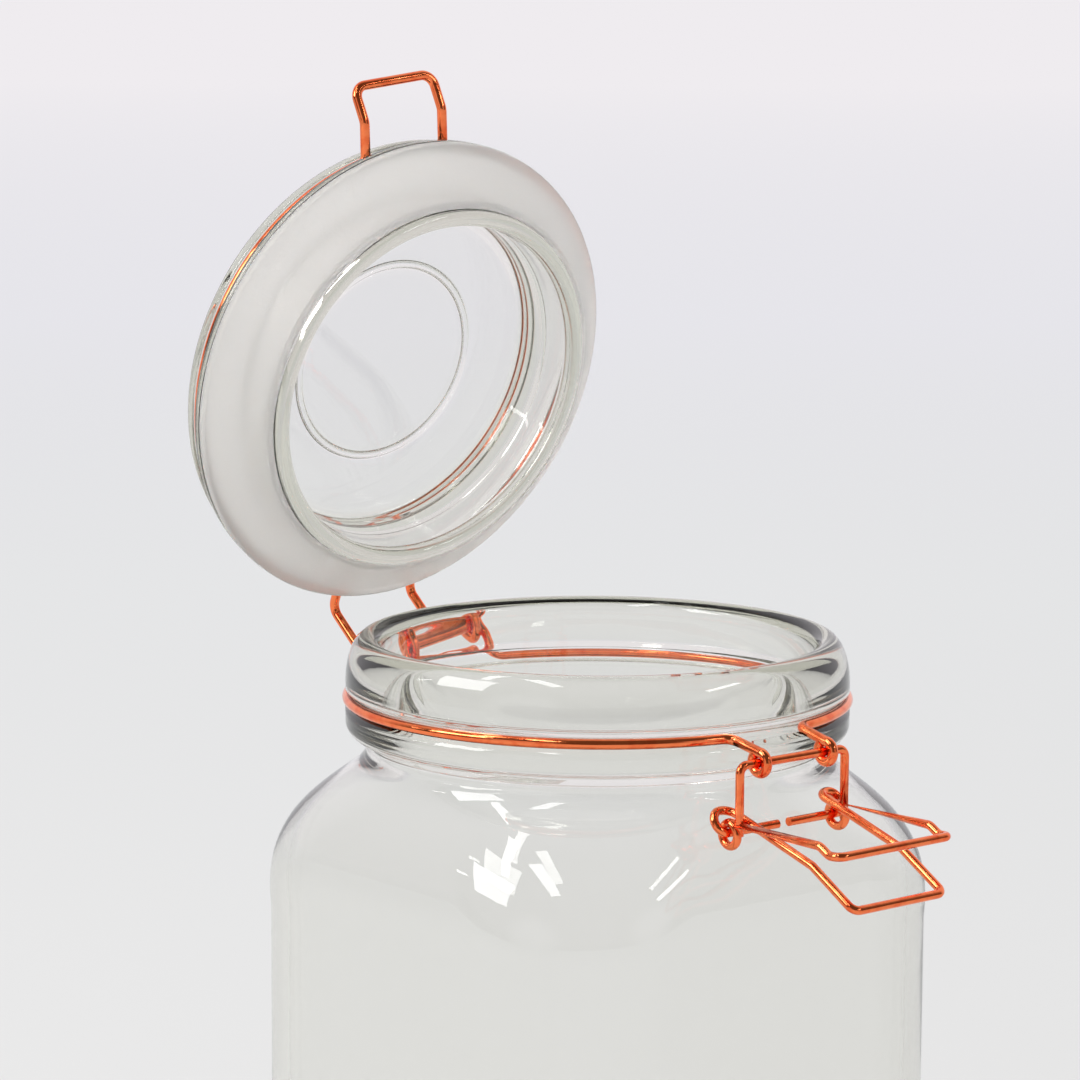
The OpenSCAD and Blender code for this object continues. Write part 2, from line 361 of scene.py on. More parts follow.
def skin(name: str, rings: list[list[Point]], closed: bool) -> Piece:
    """Makes a smooth object from a stack of rings with the same number of points.

    Args:
        name: Name of the object.
        rings: The rings, from the first to the last.
        closed: True joins the last ring to the first; False closes both ends to a pole.

    Returns:
        The object, with its faces outwards.
    """
    made = bmesh.new()
    rows = [[made.verts.new(p) for p in ring] for ring in rings]
    count = len(rings[0])
    pairs = list(zip(rows, rows[1:])) + ([(rows[-1], rows[0])] if closed else [])
    for low, high in pairs:
        for i in range(count):
            j = (i + 1) % count
            made.faces.new((low[i], low[j], high[j], high[i]))
    if not closed:
        for row in (rows[0], rows[-1]):
            middle = made.verts.new(sum((v.co for v in row), Vector()) / count)
            for i in range(count):
                made.faces.new((row[i], row[(i + 1) % count], middle))
    bmesh.ops.remove_doubles(made, verts=made.verts, dist=SAME_PLACE)
    bmesh.ops.recalc_face_normals(made, faces=made.faces)
    mesh = bpy.data.meshes.new(name)
    made.to_mesh(mesh)
    made.free()
    for face in mesh.polygons:
        face.use_smooth = True
    thing = bpy.data.objects.new(name, mesh)
    bpy.context.scene.collection.objects.link(thing)
    return thing


def lathe(outline: Outline, count: int = 256) -> list[list[Point]]:
    """Rings of an outline turned about the Z axis.

    Args:
        outline: Points as (distance from the axis, height).
        count: Points in each ring.

    Returns:
        One ring for each point of the outline.
    """
    turns = [2 * math.pi * i / count for i in range(count)]
    return [[Vector((r * math.cos(a), r * math.sin(a), z)) for a in turns] for r, z in outline]


def finer(outline: Outline, longest: float) -> Outline:
    """Splits the long chords of an outline.

    Args:
        outline: The outline.
        longest: Longest chord that stays whole.

    Returns:
        The same outline with points added on its long chords.
    """
    points = [outline[0]]
    for (x0, z0), (x1, z1) in zip(outline, outline[1:]):
        parts = max(1, math.ceil(math.hypot(x1 - x0, z1 - z0) / longest))
        points += [(x0 + (x1 - x0) * i / parts, z0 + (z1 - z0) * i / parts) for i in range(1, parts + 1)]
    return points


def dress(thing: Piece, part: Part, material: bpy.types.Material) -> None:
    """Gives a piece its material, its body and the CAD node it stands for.

    Args:
        thing: The piece.
        part: The CAD node that it replaces.
        material: Its finish.
    """
    thing.data.materials.clear()
    thing.data.materials.append(material)
    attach(thing, part.body)
    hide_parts(part.node)
    LOG.info("%s: %d faces, rides on %s", thing.name, len(thing.data.polygons), part.body)


# --- Where the lid stands ---


@dataclass(frozen=True)
class Hinge:
    """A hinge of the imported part."""

    at: Point
    axis: Point
    swing: float

    @classmethod
    def of(cls, name: str) -> "Hinge":
        """Reads a joint from the frame.

        Args:
            name: The joint's name.

        Returns:
            Its place, its axis and the angle from its lower limit to rest.
        """
        joint = next(j for j in frame["joints"] if j["name"] == name)
        return cls(Vector(joint["pos_m"]), Vector(joint["axis"]).normalized(),
                   -math.radians(joint["range_deg"][0]))

    def opening(self) -> Matrix:
        """The turn from the lower limit to rest, about the hinge."""
        there = Matrix.Translation(self.at)
        return there @ Matrix.Rotation(self.swing, 4, self.axis) @ there.inverted()


# --- Glass and seal ---


@dataclass
class JarGlass:
    """The square body with its round neck."""

    half: float = 0.055
    corner: float = 0.030
    groove: float = 0.172
    wall: float = 0.0036
    base: float = 0.006
    shoulder_drop: float = 0.043
    shoulder_pulls: Pairs = ((0.019, 1.13), (0.0172, 0.03))
    waist_drop: float = 0.0097
    waist_depth: float = 0.0047
    waist_share: float = 0.03
    waist_lap: float = 0.0006
    neck: float = 0.050
    mouth: float = 0.043
    rim: float = 0.0123
    lip: float = 0.003
    tall_bead: float = 0.003
    low_bead: tuple[float, float] = (0.003, -0.0046)
    wire_groove: Pairs = ((0.0, -0.0019), (0.0013, -0.0013), (0.0015, -0.0009),
                          (0.0015, 0.0009), (0.0013, 0.0013), (0.0, 0.0019))
    bore_top: float = -0.004
    foot: float = 0.007
    push_up: float = 0.0018
    push_up_power: int = 6
    base_rings: tuple[float, ...] = (0.02, 0.2, 0.4, 0.55, 0.7, 0.8, 0.88, 0.94)
    floor_rings: tuple[float, ...] = (0.85, 0.6, 0.35, 0.1)
    chord: float = 0.0015
    points: int = 256
    steps: int = 40
    wall_steps: int = 12
    bead_steps: int = 24
    bore_steps: int = 12

    @property
    def waist(self) -> float:
        """Radius between the neck and the shoulder."""
        return self.neck - self.waist_depth

    def ring(self, half: float, corner: float, z: float) -> list[Point]:
        """A square ring with round corners.

        Args:
            half: Half the width.
            corner: Radius of the corners.
            z: Height.

        Returns:
            Points at even angles round the Z axis.
        """
        corner = min(corner, half)
        flat = half - corner
        ring = []
        for i in range(self.points):
            a = 2 * math.pi * (i + 0.5) / self.points
            c, s = abs(math.cos(a)), abs(math.sin(a))
            if s * half <= flat * c:
                reach = half / c
            elif c * half <= flat * s:
                reach = half / s
            else:
                b = flat * (c + s)
                reach = b + math.sqrt(max(0.0, b * b - 2 * flat * flat + corner * corner))
            ring.append(Vector((reach * math.cos(a), reach * math.sin(a), z)))
        return ring

    def shoulder(self, t: float) -> tuple[float, float]:
        """A point on the S from the body (0) to the neck (1).

        Args:
            t: From 0 to 1.

        Returns:
            Depth below the groove, and the share of the flare.
        """
        points = ((self.shoulder_drop, 1.0), *self.shoulder_pulls, (self.waist_drop, self.waist_share))
        weights = ((1 - t) ** 3, 3 * (1 - t) ** 2 * t, 3 * (1 - t) * t * t, t ** 3)
        return tuple(sum(w * p[k] for w, p in zip(weights, points)) for k in (0, 1))

    def level(self, share: float, inset: float, z: float) -> list[Point]:
        """One level of the body, from a rounded square (1) to a circle (0).

        Args:
            share: Share of the flare.
            inset: How far the level lies inside the outer skin.
            z: Height.

        Returns:
            The ring.
        """
        half = self.waist + share * (self.half - self.waist) - inset
        corner = self.waist + share * (self.corner - self.waist) - inset
        return self.ring(half, corner, z)

    def shell(self, inset: float, bottom: float) -> list[list[Point]]:
        """Rings of one skin, from the rounding over the foot to the waist.

        Args:
            inset: How far the skin lies inside the outer one.
            bottom: Height at which it starts.

        Returns:
            The rings, upwards.
        """
        turns = self.steps // 3
        angles = [math.pi / 2 * i / turns for i in range(turns + 1)]
        rings = [self.level(1, inset + self.foot * (1 - math.sin(a)),
                            bottom + self.foot * (1 - math.cos(a))) for a in angles]
        start, end = bottom + self.foot, self.groove - self.shoulder_drop
        rings += [self.level(1, inset, start + (end - start) * i / self.wall_steps)
                  for i in range(1, self.wall_steps)]
        for i in range(self.steps + 1):
            drop, share = self.shoulder(i / self.steps)
            rings.append(self.level(share, inset, self.groove - drop))
        return rings

    def neck_outline(self) -> Outline:
        """Outline of the neck, from the waist over the rim and down the bore.

        Returns:
            The outline, with its heights counted from the groove.
        """
        start = self.waist_lap - self.waist_drop
        bead, bead_height = self.low_bead
        outline = [(self.waist, start)] + arc(self.neck - bead, bead_height, bead, -60, 0)
        outline += [(self.neck - depth, height) for depth, height in self.wire_groove]
        crest, low = self.mouth + self.lip, self.tall_bead
        for i in range(self.bead_steps + 1):
            a = math.pi / 2 * i / self.bead_steps
            outline.append((crest + (self.neck - crest) * math.cos(a),
                            low + (self.rim - low) * math.sin(a)))
        outline += arc(crest, self.rim - self.lip, self.lip, 90, 180)
        waist = self.level(self.waist_share, self.wall, 0.0)[0].length
        for i in range(self.bore_steps + 1):
            t = i / self.bore_steps
            outline.append((self.mouth + (waist - self.mouth) * t * t * (3 - 2 * t),
                            self.bore_top + (start - self.bore_top) * t))
        return finer(outline, self.chord)

    def build(self, glass: bpy.types.Material) -> Piece:
        """Builds and dresses the body.

        Args:
            glass: Its material.

        Returns:
            The piece.
        """
        bearing, floor = self.half - self.foot, self.half - self.wall - self.foot
        rings = [self.ring(bearing * f, self.corner * f, self.push_up * (1 - f ** self.push_up_power))
                 for f in self.base_rings]
        rings += self.shell(0, 0)
        rings += [self.ring(r, r, self.groove + z) for r, z in self.neck_outline()]
        rings += self.shell(self.wall, self.base)[::-1]
        rings += [self.ring(floor * f, self.corner * f, self.base) for f in self.floor_rings]
        thing = skin("jar_glass", rings, closed=False)
        dress(thing, Part.JAR, glass)
        return thing


@dataclass
class Lid:
    """The glass lid and its seal, given shut and then opened about the hinge."""

    hinge: Hinge
    groove: float = 0.172
    seal_edge: float = 0.0166
    seal_radius: float = 0.0495
    plug: float = 0.0386
    dish: float = 0.009
    seal_thick: float = 0.003
    flange_thick: float = 0.0074
    wall: float = 0.0034
    ring: float = 0.021
    wire_height: float = 0.022
    wire_groove: float = 0.046
    top_radius: float = 0.0477
    pole: float = 0.0005
    seal_gap: float = 0.00005
    rim_inset: float = 0.0003
    plug_past: float = 0.001
    hollow_inset: float = 0.003
    hollow_round: float = 0.0024
    flange_round: float = 0.0006
    wire_round: float = 0.0012
    wire_lips: tuple[float, float] = (-0.0017, 0.0019)
    top_round: float = 0.0016
    ring_round: float = 0.0008
    ring_sink: float = 0.0001
    ring_foot: float = 0.0011
    seal_foot: Pairs = ((0.0, 0.0036), (0.0, 0.0005), (0.0005, 0.0001))
    seal_rounds: tuple[float, float] = (0.0012, 0.0009)
    seal_lift: float = 0.0007
    chord: float = 0.002
    seal_chord: float = 0.0015

    @property
    def slope(self) -> float:
        """Slope of the dished seal, in radians."""
        return math.atan2(self.dish, self.seal_radius - self.plug)

    @property
    def top(self) -> float:
        """Height of the panel's top over the groove."""
        return self.seal_edge + self.seal_thick * math.cos(self.slope) + self.seal_gap + self.flange_thick

    def glass_outline(self) -> Outline:
        """Outline of the lid, from the middle of its underside round to the middle of its top.

        Returns:
            The outline.
        """
        top, wall, plug, height = self.top, self.wall, self.plug, self.wire_height
        under, flange, rim = top - wall, top - self.flange_thick, self.seal_radius - self.rim_inset
        end, hollow = self.seal_edge - self.dish - self.plug_past, plug - wall - self.hollow_inset
        small, wide, wire = self.flange_round, self.top_round, self.wire_round
        outline = [(self.pole, under), (hollow, under)]
        outline += arc(hollow, under - self.hollow_round, self.hollow_round, 80, 0)
        outline += [(plug - wall, end + self.plug_past)]
        outline += arc(plug - wall / 2, end + wall / 2, wall / 2, 180, 360)
        outline += [(plug, flange)]
        outline += arc(rim - small, flange + small, small, -90, 0, 5)
        outline += [(rim, height + self.wire_lips[0])]
        outline += arc(self.wire_groove + wire, height, wire, 250, 110)
        outline += arc(self.top_radius - small, height + self.wire_lips[1], small, -60, 0, 5)
        outline += arc(self.top_radius - wide, top - wide, wide, 0, 90)
        outline += [(self.ring + self.ring_foot, top)]
        outline += arc(self.ring, top - self.ring_sink, self.ring_round, 10, 170)
        outline += [(self.ring - self.ring_foot, top), (self.pole, top)]
        return finer(outline, self.chord)

    def seal_outline(self) -> Outline:
        """Closed outline of the dished seal, with a soft lip at its inner and outer edge.

        Returns:
            The outline; its last point joins its first.
        """
        inner, low = self.plug + self.seal_gap, self.seal_edge - self.dish
        back = self.seal_edge + math.cos(self.slope) * self.seal_thick
        soft, tight = self.seal_rounds
        outline = [(inner + out, low + up) for out, up in self.seal_foot]
        outline += arc(self.seal_radius - soft, self.seal_edge + self.seal_lift, soft, -50, 0, 8)
        outline += arc(self.seal_radius - tight, back - tight, tight, 0, 90, 6)
        outline += [(self.seal_radius - math.sin(self.slope) * self.seal_thick, back)]
        return finer(outline + outline[:1], self.seal_chord)[:-1]

    def opened(self, rings: list[list[Point]]) -> list[list[Point]]:
        """Moves rings from over the groove, shut, to where the lid stands open."""
        move = self.hinge.opening() @ Matrix.Translation((0, 0, self.groove))
        return [[move @ p for p in ring] for ring in rings]

    def build(self, glass: bpy.types.Material, silicone: bpy.types.Material) -> list[Piece]:
        """Builds and dresses the lid and its seal.

        Args:
            glass: Material of the lid.
            silicone: Material of the seal.

        Returns:
            Both pieces.
        """
        lid = skin("lid_glass_clear", self.opened(lathe(self.glass_outline())), closed=False)
        dress(lid, Part.LID, glass)
        seal = skin("seal_silicone", self.opened(lathe(self.seal_outline())), closed=True)
        dress(seal, Part.SEAL, silicone)
        return [lid, seal]


# --- Wires ---


class SweepTree(Nodes):
    """A Geometry Nodes tree that sweeps a round wire along an edge path."""

    SIDES = 20

    def __init__(self) -> None:
        """Builds the tree with its named inputs."""
        super().__init__(bpy.data.node_groups.new("wire_sweep", "GeometryNodeTree"))
        for name, way, kind in (("Geometry", "INPUT", "Geometry"), ("Wire Diameter", "INPUT", "Float"),
                                ("Finish", "INPUT", "Material"), ("Geometry", "OUTPUT", "Geometry")):
            self.tree.interface.new_socket(name, in_out=way, socket_type="NodeSocket" + kind)
        enter = self.node("NodeGroupInput")
        path = self.node("GeometryNodeMeshToCurve", enter.outputs["Geometry"])
        half = self.node("ShaderNodeMath", enter.outputs["Wire Diameter"], 2, operation="DIVIDE")
        circle = self.node("GeometryNodeCurvePrimitiveCircle", Resolution=self.SIDES,
                           Radius=half.outputs["Value"])
        sweep = self.node("GeometryNodeCurveToMesh", self.along(path.outputs["Curve"]),
                          self.around(circle.outputs["Curve"]), Fill_Caps=True)
        smooth = self.node("GeometryNodeSetShadeSmooth", sweep.outputs["Mesh"])
        realize = self.node("GeometryNodeRealizeInstances", self.combined(smooth.outputs["Geometry"]))
        finish = self.node("GeometryNodeSetMaterial", Geometry=realize.outputs["Geometry"],
                           Material=enter.outputs["Finish"])
        self.node("NodeGroupOutput", finish.outputs["Geometry"])

    def store(self, geometry: Socket, name: str, kind: str, value: Socket) -> Socket:
        """Stores a named attribute on points.

        Args:
            geometry: The geometry.
            name: Name of the attribute.
            kind: Its data type.
            value: Its value.

        Returns:
            The geometry with the attribute.
        """
        node = self.node("GeometryNodeStoreNamedAttribute", data_type=kind, domain="POINT",
                         Geometry=geometry, Name=name, Value=value)
        return node.outputs["Geometry"]

    def along(self, curve: Socket) -> Socket:
        """Stores the length along the path."""
        parameter = self.node("GeometryNodeSplineParameter")
        return self.store(curve, "wire_along", "FLOAT", parameter.outputs["Length"])

    def around(self, curve: Socket) -> Socket:
        """Stores the share of the turn round the wire."""
        parameter = self.node("GeometryNodeSplineParameter")
        return self.store(curve, "wire_around", "FLOAT", parameter.outputs["Factor"])

    def combined(self, geometry: Socket) -> Socket:
        """Stores (along, cosine, sine of around) as one vector, which has no seam.

        Args:
            geometry: The geometry.

        Returns:
            The geometry with the attribute.
        """
        along, around = (self.node("GeometryNodeInputNamedAttribute", data_type="FLOAT", Name=name)
                         .outputs["Attribute"] for name in ("wire_along", "wire_around"))
        turn = self.node("ShaderNodeMath", around, 2 * math.pi, operation="MULTIPLY").outputs["Value"]
        waves = [self.node("ShaderNodeMath", turn, operation=kind).outputs["Value"]
                 for kind in ("COSINE", "SINE")]
        vector = self.node("ShaderNodeCombineXYZ", along, *waves)
        return self.store(geometry, "wire_uv", "FLOAT_VECTOR", vector.outputs["Vector"])


@dataclass
class Path:
    """A wire's centre line, drawn with straight stretches, bends and turns round an axis."""

    points: list[Point] = field(default_factory=list)
    chord: float = 0.00035
    nearest: float = 1e-5
    straight: float = 1e-4
    most_steps: int = 400

    def go(self, *corners: tuple[Point, float]) -> "Path":
        """Adds a line through corners, each rounded with its own radius.

        Args:
            corners: Pairs of a corner and the radius of its bend.

        Returns:
            The same path.
        """
        for i, (here, radius) in enumerate(corners):
            if radius <= 0 or i in (0, len(corners) - 1):
                self.add(here)
                continue
            into, out = (here - corners[i - 1][0]).normalized(), (corners[i + 1][0] - here).normalized()
            turn = into.angle(out, 0.0)
            if turn < self.straight:
                self.add(here)
                continue
            cut = radius * math.tan(turn / 2)
            middle = here + (out - into).normalized() * (radius / math.cos(turn / 2))
            start = here - into * cut
            axis = into.cross(out).normalized()
            steps = max(3, math.ceil(radius * turn / self.chord), math.ceil(math.degrees(turn) / TURN_STEP))
            steps = min(steps, self.most_steps)
            for k in range(steps + 1):
                self.add(middle + Matrix.Rotation(turn * k / steps, 3, axis) @ (start - middle))
        return self

    def add(self, point: Point) -> None:
        """Adds a point unless it repeats the last one."""
        if not self.points or (point - self.points[-1]).length > self.nearest:
            self.points.append(point.copy())

    def coil(self, centre: Point, axis: Point, start: Point, degrees: float, pitch: float) -> "Path":
        """Adds turns round an axis.

        Args:
            centre: A point on the axis.
            axis: Direction of the axis; the turn is right-handed about it.
            start: Where the turns begin.
            degrees: How far they go round.
            pitch: Advance along the axis in a whole turn.

        Returns:
            The same path.
        """
        axis = axis.normalized()
        arm = start - centre
        steps = max(6, math.ceil(abs(degrees) / TURN_STEP))
        for k in range(steps + 1):
            part = k / steps
            turned = Matrix.Rotation(math.radians(degrees * part), 3, axis) @ arm
            self.add(centre + turned + axis * (pitch * degrees / 360 * part))
        return self

    @classmethod
    def eyed(cls, corners: Corners, centres: tuple[Point, Point], axis: Point, degrees: float) -> "Path":
        """A line through corners with an eye wound at each end.

        Args:
            corners: Pairs of a corner and the radius of its bend.
            centres: Centres of the first and the last eye.
            axis: Axis of both eyes.
            degrees: How far each eye goes round.

        Returns:
            The path.
        """
        path = cls().coil(centres[0], axis, corners[0][0], degrees, 0)
        path.points.reverse()
        return path.go(*corners).coil(centres[1], axis, corners[-1][0], degrees, 0)


@dataclass
class WireWorks:
    """The four wires: neck wire, lid wire, lever and bail; all heights are counted from the groove."""

    tree: SweepTree
    copper: bpy.types.Material
    lid: Lid
    neck_radius: float = 0.050
    groove_depth: float = 0.0015
    glass_gap: float = 0.0001
    band: float = 0.002
    latch: float = 0.0017
    band_bend: float = 0.0016
    latch_bend: float = 0.00075
    turn_bend: float = 0.0022
    neck_lead: float = 1.1
    lid_lead: float = 0.6
    clearance: float = 0.0003
    fit: float = 0.00008
    swell: float = 0.00004
    hinge_y: float = 0.0548
    hinge_h: float = 0.0041
    hinge_half: float = 0.0133
    hinge_inset: float = 0.002
    hinge_eye_x: float = 0.0098
    hinge_legs: Pairs = ((0.0546, 0.0244), (0.0592, 0.0152))
    pivot_y: float = 0.0566
    pivot_drop: float = 0.0035
    eyelet_x: float = 0.0085
    eyelet_play: float = 0.0002
    eye_turn: float = 330.0
    catch_half: float = 0.0095
    catch_play: float = 0.00015
    catch_legs: Pairs = ((-0.0601, 0.0274), (-0.0540, 0.0231))
    leg: float = 0.0133
    arm: float = 0.0298
    arm_bends: Pairs = ((0.0053, 0.0), (0.0028, -0.0014), (0.0, -0.0012))
    coil: float = 0.0022
    coil_pitch: float = 0.0003
    coil_turn: float = 450.0
    bail_length: float = 0.0326
    bail_bend: tuple[float, float] = (0.0202, -0.003)
    bail_slope: float = math.radians(16.8)
    bail_gap: float = 0.0028
    pin_angle: float = math.radians(137)
    over_angle: float = math.radians(125)

    def sweep(self, part: Part, name: str, path: Path, diameter: float) -> Piece:
        """Sweeps a wire along a path and dresses it.

        Args:
            part: The CAD node that it stands for.
            name: Name of the piece.
            path: Centre line.
            diameter: Diameter of the wire.

        Returns:
            The piece.
        """
        line = bpy.data.meshes.new(name + "_line")
        line.from_pydata([p[:] for p in path.points], [(i, i + 1) for i in range(len(path.points) - 1)], [])
        holder = bpy.data.objects.new(name + "_line", line)
        bpy.context.scene.collection.objects.link(holder)
        modifier = holder.modifiers.new("sweep", "NODES")
        modifier.node_group = self.tree.tree
        sockets = {s.name: s.identifier for s in self.tree.tree.interface.items_tree if s.in_out == "INPUT"}
        modifier[sockets["Wire Diameter"]] = diameter
        modifier[sockets["Finish"]] = self.copper
        graph = bpy.context.evaluated_depsgraph_get()
        mesh = bpy.data.meshes.new_from_object(holder.evaluated_get(graph), depsgraph=graph)
        mesh.name = name
        bpy.data.objects.remove(holder)
        thing = bpy.data.objects.new(name, mesh)
        bpy.context.scene.collection.objects.link(thing)
        dress(thing, part, self.copper)
        return thing

    def build(self) -> list[Piece]:
        """Builds and dresses all four wires."""
        return [self.neck_wire(), self.lid_wire(), self.lever(), self.bail()]

    @property
    def soft(self) -> float:
        """Radius of a gentle bend's centre line."""
        return self.band_bend + self.band / 2

    @property
    def tight(self) -> float:
        """Radius of a sharp bend's centre line."""
        return self.latch_bend + self.latch / 2

    def on_hinge(self, x: float) -> Point:
        """A point of the hinge line, x along it from the middle."""
        return Vector((0, self.hinge_y, self.hinge_h)) - self.lid.hinge.axis * x

    @staticmethod
    def ring_side(radius: float, height: float, front: float, rear: float, past: float,
                  side: int) -> Corners:
        """Corners of one side of a ring whose wire bends away from its circle at both ends.

        Args:
            radius: Radius of the circle.
            height: Height of the circle.
            front: Distance from the middle at which the wire goes on in front.
            rear: The same at the rear.
            past: How far the outer corners lie past the ends of the circle.
            side: -1 for the left side, 1 for the right.

        Returns:
            The front corner, the one that the circle rounds, and the rear corner.
        """
        start = math.asin((front + past) / radius)
        end = math.pi - math.asin((rear + past) / radius)
        reach = radius / math.cos((end - start) / 2)
        spots = ((radius, start, -past), (reach, (start + end) / 2, 0), (radius, end, past))
        return [(Vector((side * (r * math.sin(a) + off * math.cos(a)),
                         off * math.sin(a) - r * math.cos(a), height)), radius) for r, a, off in spots]

    def neck_side(self, side: int) -> Corners:
        """Corners of one side of the neck wire.

        Args:
            side: -1 for the left side, 1 for the right.

        Returns:
            The corners, from its front eye to the hinge bar.
        """
        radius = self.neck_radius - self.groove_depth + self.band / 2 + self.glass_gap
        front, ring, rear = self.ring_side(radius, 0, self.eyelet_x + self.eyelet_play,
                                           self.hinge_half - self.hinge_inset,
                                           self.neck_lead * self.soft, side)
        eye = self.latch / 2 + self.band / 2 + self.swell + self.fit
        return [(Vector((side * self.eyelet_x, -self.pivot_y, eye - self.pivot_drop)), 0),
                (front[0], self.soft), ring, (rear[0], self.soft),
                (self.on_hinge(side * self.hinge_half), self.soft)]

    def neck_wire(self) -> Piece:
        """Makes the wire round the neck, with its front eyes and rear hinge bar."""
        centres = tuple(Vector((s * self.eyelet_x, -self.pivot_y, -self.pivot_drop)) for s in (-1, 1))
        corners = self.neck_side(-1) + self.neck_side(1)[::-1]
        path = self.lifted(Path.eyed(corners, centres, ACROSS, self.eye_turn))
        return self.sweep(Part.NECK_WIRE, "neck_wire", path, self.band)

    def lifted(self, path: Path) -> Path:
        """Raises a path from over the groove to its height over the ground."""
        up = Vector((0, 0, self.lid.groove))
        return Path([p + up for p in path.points])

    def lid_side(self, side: int) -> Corners:
        """Corners of one side of the lid wire, with the lid shut.

        Args:
            side: -1 for the left side, 1 for the right.

        Returns:
            The corners, from the catch to the hinge eye.
        """
        radius = self.lid.wire_groove + self.band / 2 + self.glass_gap
        lead = self.lid_lead * self.soft
        front, ring, rear = self.ring_side(radius, self.lid.wire_height, self.catch_half, self.hinge_eye_x,
                                           lead, side)
        eye = self.on_hinge(side * self.hinge_eye_x) + Vector((0, self.band + self.swell + self.fit, 0))
        catch = [(Vector((side * self.catch_half, *place)), self.soft) for place in self.catch_legs]
        legs = [(Vector((side * self.hinge_eye_x, *place)), self.soft) for place in self.hinge_legs]
        return catch + [(front[0], lead), ring, (rear[0], lead)] + legs + [(eye, 0)]

    def lid_wire(self) -> Piece:
        """Makes the wire round the lid, with its catch and its hinge eyes."""
        centres = tuple(self.on_hinge(s * self.hinge_eye_x) for s in (-1, 1))
        corners = self.lid_side(-1)[::-1] + self.lid_side(1)
        path = Path.eyed(corners, centres, -self.lid.hinge.axis, -self.eye_turn)
        path.points = self.lid.opened([path.points])[0]
        return self.sweep(Part.LID_WIRE, "lid_wire", path, self.band)

    @property
    def bail_half(self) -> float:
        """Half the width between the bail's arms."""
        return self.catch_half + self.band / 2 + self.latch / 2 + self.catch_play

    @property
    def lever_half(self) -> float:
        """Half the width between the lever's legs."""
        return self.bail_half + self.latch + self.clearance

    @property
    def arm_half(self) -> float:
        """Half the width between the lever's arms."""
        return self.lever_half + 2 * self.coil_pitch

    def from_coil(self, x: float, out: float, up: float) -> Point:
        """A point counted from the lever's coil."""
        return Vector((x, -(self.pivot_y - self.coil) - out, -self.pivot_drop - self.leg + up))

    def lever_arm(self, side: int) -> Corners:
        """Corners of one arm of the lever.

        Args:
            side: -1 for the left side, 1 for the right.

        Returns:
            The corners, from its coil out to the end bar.
        """
        x = side * self.arm_half
        corners = [(self.from_coil(x, 0, self.coil), 0)]
        for (back, up), radius in zip(self.arm_bends, (self.soft, self.soft, self.tight)):
            corners.append((self.from_coil(x, self.arm - back, self.coil + up), radius))
        return corners

    def lever_coil(self, side: int) -> list[Point]:
        """Winds one coil of the lever.

        Args:
            side: -1 for the left side, 1 for the right.

        Returns:
            Points from the top of its outer turn in to the foot of its leg.
        """
        x = side * self.arm_half
        pitch = -side * 2 * self.coil_pitch * 360 / self.coil_turn
        centre, start = self.from_coil(x, 0, 0), self.from_coil(x, 0, self.coil)
        return Path().coil(centre, ACROSS, start, self.coil_turn, pitch).points

    def lever(self) -> Piece:
        """Makes the lever: a bar in the neck wire's eyes, two legs, two coils and the finger loop."""
        path = Path(self.lever_coil(-1)[::-1])
        path.go(*self.lever_arm(-1), *reversed(self.lever_arm(1)))
        path.points += self.lever_coil(1)[1:]
        foot, bar = -self.pivot_drop - self.leg, -self.pivot_drop
        corners = ((1, foot, 0), (1, bar, self.tight), (-1, bar, self.tight), (-1, foot, 0))
        path.go(*[(Vector((s * self.lever_half, -self.pivot_y, h)), radius) for s, h, radius in corners])
        return self.sweep(Part.LEVER, "latch_lever", self.lifted(path), self.latch)

    def bail_side(self, side: int) -> Corners:
        """Corners of one side of the bail.

        Args:
            side: -1 for the left side, 1 for the right.

        Returns:
            The corners, from the end of its pin out round the coil to the bar.
        """
        play = self.coil - self.latch - self.swell - self.fit
        y = -(self.pivot_y - self.coil + play * math.cos(self.pin_angle))
        h = -self.pivot_drop - self.leg + play * math.sin(self.pin_angle)
        out = self.arm_half + self.latch + self.clearance
        turn = self.coil + play + self.latch + self.clearance
        over = (turn * math.cos(self.over_angle), turn * math.sin(self.over_angle))
        end = (self.bail_length * math.cos(self.bail_slope), -self.bail_length * math.sin(self.bail_slope))
        spots = ((self.bail_gap / 2, (0, 0), 0), (out, (0, 0), self.turn_bend), (out, over, self.turn_bend),
                 (self.bail_half, over, self.turn_bend), (self.bail_half, self.bail_bend, self.soft),
                 (self.bail_half, end, self.tight))
        return [(Vector((side * x, y - forward, h + up)), radius) for x, (forward, up), radius in spots]

    def bail(self) -> Piece:
        """Makes the bail: a bent loop whose ends turn in through the lever's coils."""
        path = Path().go(*self.bail_side(-1), *reversed(self.bail_side(1)))
        return self.sweep(Part.BAIL, "latch_bail", self.lifted(path), self.latch)


# --- Stage ---


@dataclass(frozen=True)
class Patch:
    """A round pale window in the dim walls; angles in degrees, as seen from the jar."""

    azimuth: float
    elevation: float
    radius: float
    soft: float
    level: float


@dataclass(frozen=True)
class Lamp:
    """A rectangular soft box; angles in degrees, the azimuth from the front."""

    name: str
    azimuth: float
    elevation: float
    distance: float
    size: tuple[float, float]
    radiance: float
    roll: float = 0.0


